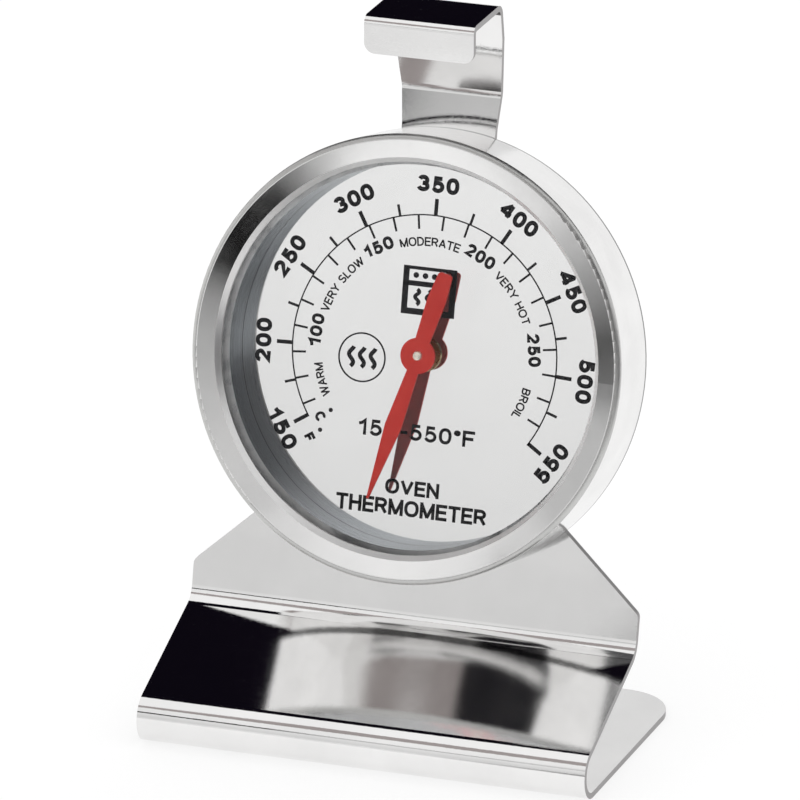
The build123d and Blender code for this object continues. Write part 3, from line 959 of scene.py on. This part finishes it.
back_card("card_back", (BACK_LEFT, BACK_Y, BACK_FOOT), (BACK_RIGHT, BACK_Y, BACK_TOP), black)
back_card("card_above", (BACK_LEFT, ABOVE_Y, BACK_TOP), (BACK_RIGHT, BACK_Y, BACK_TOP), black)
back_card(
    "card_back_low",
    (BACK_LEFT, BACK_Y, LOW_FOOT),
    (LOW_RIGHT, BACK_Y, LOW_TOP),
    plain("card_pale", (0.80, 0.80, 0.80)),
)


# ---- in front of the dial ----
def facing(azimuth, elevation):
    """The direction towards that azimuth and elevation, and the two directions across it."""
    towards = Vector((
        sine(azimuth) * cosine(elevation),
        -cosine(azimuth) * cosine(elevation),
        sine(elevation),
    ))
    across = Vector((cosine(azimuth), sine(azimuth), 0))
    return towards, across, towards.cross(across)


FRONT_AZIMUTH, FRONT_ELEVATION = -19, 4      # where the dial mirrors, seen from the camera
FRONT_DISTANCE = 0.3
CARD_LAYER = 0.001                           # how far a card on top of another one stands off it


def front_card(name, outline, faces, material, nearer=0.0):
    """A flat card where the dial mirrors; its outline runs across and up from its middle."""
    made = card(name, [(x, y, 0) for x, y in outline], faces, material)
    towards, across, upward = facing(FRONT_AZIMUTH, FRONT_ELEVATION)
    middle = dial_origin + towards * (FRONT_DISTANCE - nearer)
    turned_to = Matrix((across, upward, towards)).transposed().to_4x4()
    made.matrix_world = Matrix.Translation(middle) @ turned_to


def oblong(left, right_end, foot, top):
    """Corners of an upright oblong."""
    return [(left, foot), (right_end, foot), (right_end, top), (left, top)]


front_card(
    "card_front",
    oblong(-0.055, 0.055, -0.055, 0.06),
    [(0, 1, 2, 3)],
    graded("card_front_shade", (
        (-0.055, 0.73), (-0.034, 0.74), (0.0, 0.80), (0.034, 0.86), (0.038, 0.58), (0.06, 0.52)
    ), along="Y"),
)
front_card(
    "card_neck_side",
    oblong(-0.045, 0.0, 0.037, 0.06),
    [(0, 1, 2, 3)],
    graded("card_neck_shade", (
        (-0.045, 0.01), (-0.014, 0.04), (-0.010, 0.3), (-0.005, 0.52), (0.0, 0.58)
    ), along="X"),
    nearer=CARD_LAYER,
)


def ring_part(inner, outer, start, end, steps):
    """Corners and faces of part of a flat ring, clockwise from its top."""
    corners = []
    for i in range(steps + 1):
        angle = start + (end - start) * i / steps
        corners += [on_circle(angle, inner), on_circle(angle, outer)]
    return corners, [(a, a + 1, a + 3, a + 2) for a in range(0, 2 * steps, 2)]


# Light and shade for the sloping band of the bezel, which mirrors a ring round the card.
RING_INNER, RING_MIDDLE, RING_OUTER = 0.06, 0.18, 0.45
RING_STEPS = 72
ring_shade = graded("card_ring_shade", (
    (-180, 0.88), (-140, 0.76), (-120, 0.34), (-106, 0.08), (-96, 0.16), (-86, 0.56), (-60, 0.56),
    (-40, 0.88), (0, 0.95), (20, 0.92), (40, 0.68), (60, 0.64), (80, 0.50), (96, 0.34),
    (106, 0.005), (132, 0.003), (142, 0.30), (158, 0.80), (180, 0.88),
), along="ROUND")
front_card("card_ring", *ring_part(RING_INNER, RING_MIDDLE, 0, 360, RING_STEPS), ring_shade)
front_card("card_ring_outer", *ring_part(RING_MIDDLE, RING_OUTER, 82, 155, RING_STEPS), ring_shade)


# ---- under and beside the case ----
def dome(name, azimuths, elevations, radius, material, steps=8):
    """A curved card: a patch of a sphere round the dial."""
    points, faces = [], []
    for i in range(steps + 1):
        for j in range(steps + 1):
            azimuth = azimuths[0] + (azimuths[1] - azimuths[0]) * i / steps
            elevation = elevations[0] + (elevations[1] - elevations[0]) * j / steps
            points.append(dial_origin + facing(azimuth, elevation)[0] * radius)
            if i < steps and j < steps:
                a = i * (steps + 1) + j
                faces.append((a, a + steps + 1, a + steps + 2, a + 1))
    card(name, points, faces, material)


# The underside of the case mirrors these, and the stand's front panel mirrors it in turn.
WIDE_RADIUS = 0.5
brown = plain("card_brown", (0.38, 0.345, 0.34))
dome("card_right", (6, 60), (4, 51), WIDE_RADIUS, black)
dome("card_middle", (-34, 6), (26, 51), WIDE_RADIUS, brown)
dome("card_left", (-84, -34), (26, 43), WIDE_RADIUS, brown)

# The curled lip of the bezel looks this way.
dome("card_lip", (48, 100), (-16, 16), 0.24, plain("card_grey", (0.10, 0.10, 0.105)))

# A dark arc close to the bezel's front edge, for the line across the foot of the neck.
ARC_INNER_MM, ARC_OUTER_MM = 32.6, 33.05
arc_height_mm = max(heights_mm("bezel_ring"))
arc_outline, arc_faces = ring_part(ARC_INNER_MM, ARC_OUTER_MM, -30, 30, 24)
arc_points = [dial_matrix @ (Vector((x, y, arc_height_mm)) * MM) for x, y in arc_outline]
card("card_arc", arc_points, arc_faces, black)

# =====================================================================================
# Camera
# =====================================================================================
CAMERA_AZIMUTH, CAMERA_ELEVATION = 19.72, 19.72
CAMERA_DISTANCE = 1.5
LENS_MM, SENSOR_MM = 470.69, 36.0
AIM_LEFT_MM, AIM_DOWN_MM = 3.539, 6.644      # the middle of the picture, from the dial's middle

back, aside, above = facing(CAMERA_AZIMUTH, CAMERA_ELEVATION)
aim = dial_origin - (aside * AIM_LEFT_MM + above * AIM_DOWN_MM) * MM
camera_data = bpy.data.cameras.new("camera")
camera_data.lens = LENS_MM
camera_data.sensor_width = SENSOR_MM
camera_data.clip_start = 0.01
camera_data.clip_end = 100
camera = bpy.data.objects.new("camera", camera_data)
camera.location = aim + back * CAMERA_DISTANCE
camera.rotation_mode = "QUATERNION"
camera.rotation_quaternion = Matrix((aside, above, back)).transposed().to_quaternion()
bpy.context.scene.collection.objects.link(camera)
bpy.context.scene.camera = camera
bpy.context.scene.view_settings.view_transform = "Standard"
